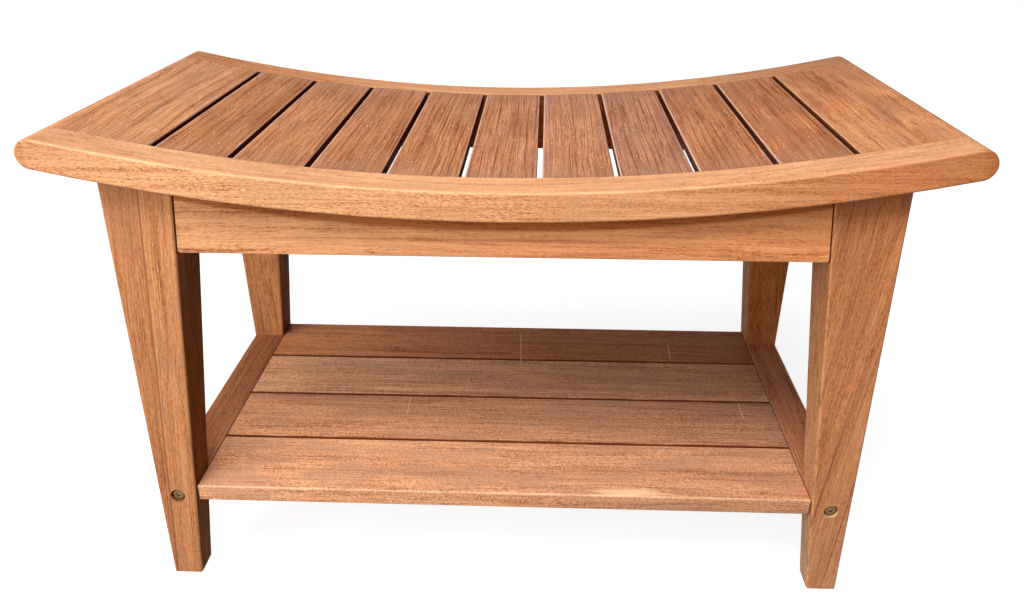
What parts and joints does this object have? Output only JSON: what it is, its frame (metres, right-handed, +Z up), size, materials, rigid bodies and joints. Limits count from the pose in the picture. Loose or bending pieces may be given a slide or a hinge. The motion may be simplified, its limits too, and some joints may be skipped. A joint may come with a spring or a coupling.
{
  "type": "shower bench",
  "caption": "Teak shower bench with a curved slatted seat, tapered legs, aprons and a low planked shelf bolted between the legs.",
  "frame": {"origin": "on the floor under the middle of the bench", "axes": "+X to the right along the seat's length, +Y from the front to the back, +Z up"},
  "size_m": [0.76, 0.39, 0.4477],
  "materials": {
    "teak_rail": "oiled teak, light orange tan, fine pores along the length",
    "teak_slat": "oiled teak, red brown with streaks along the slat",
    "teak_leg": "oiled teak, warm brown with straight grain",
    "teak_apron": "oiled teak, light orange tan",
    "teak_shelf": "oiled teak, pinkish brown with fine streaks",
    "dowel_wood": "plain pale hardwood",
    "brass": "dull satin brass",
    "screw_steel": "satin stainless steel"
  },
  "bodies": {
    "root": {"seat_rail_front": "teak_rail", "seat_rail_rear": "teak_rail", "seat_end_board_left": "teak_slat", "seat_end_board_right": "teak_slat", "seat_slat_1": "teak_slat", "seat_slat_2": "teak_slat", "seat_slat_3": "teak_slat", "seat_slat_4": "teak_slat", "seat_slat_5": "teak_slat", "seat_slat_6": "teak_slat", "seat_slat_7": "teak_slat", "seat_slat_8": "teak_slat", "seat_slat_9": "teak_slat", "leg_front_left": "teak_leg", "leg_front_right": "teak_leg", "leg_rear_left": "teak_leg", "leg_rear_right": "teak_leg", "apron_front": "teak_apron", "apron_rear": "teak_apron", "upper_side_rail_left": "teak_apron", "upper_side_rail_right": "teak_apron", "lower_side_rail_left": "teak_shelf", "lower_side_rail_right": "teak_shelf", "shelf_batten": "teak_shelf", "shelf_plank_1": "teak_shelf", "shelf_plank_2": "teak_shelf", "shelf_plank_3": "teak_shelf", "shelf_plank_4": "teak_shelf", "connector_bolts": "brass", "barrel_nuts": "brass", "apron_dowels": "dowel_wood", "side_rail_dowels": "dowel_wood", "seat_screws": "screw_steel", "shelf_screws": "screw_steel"}
  },
  "joints": []
}
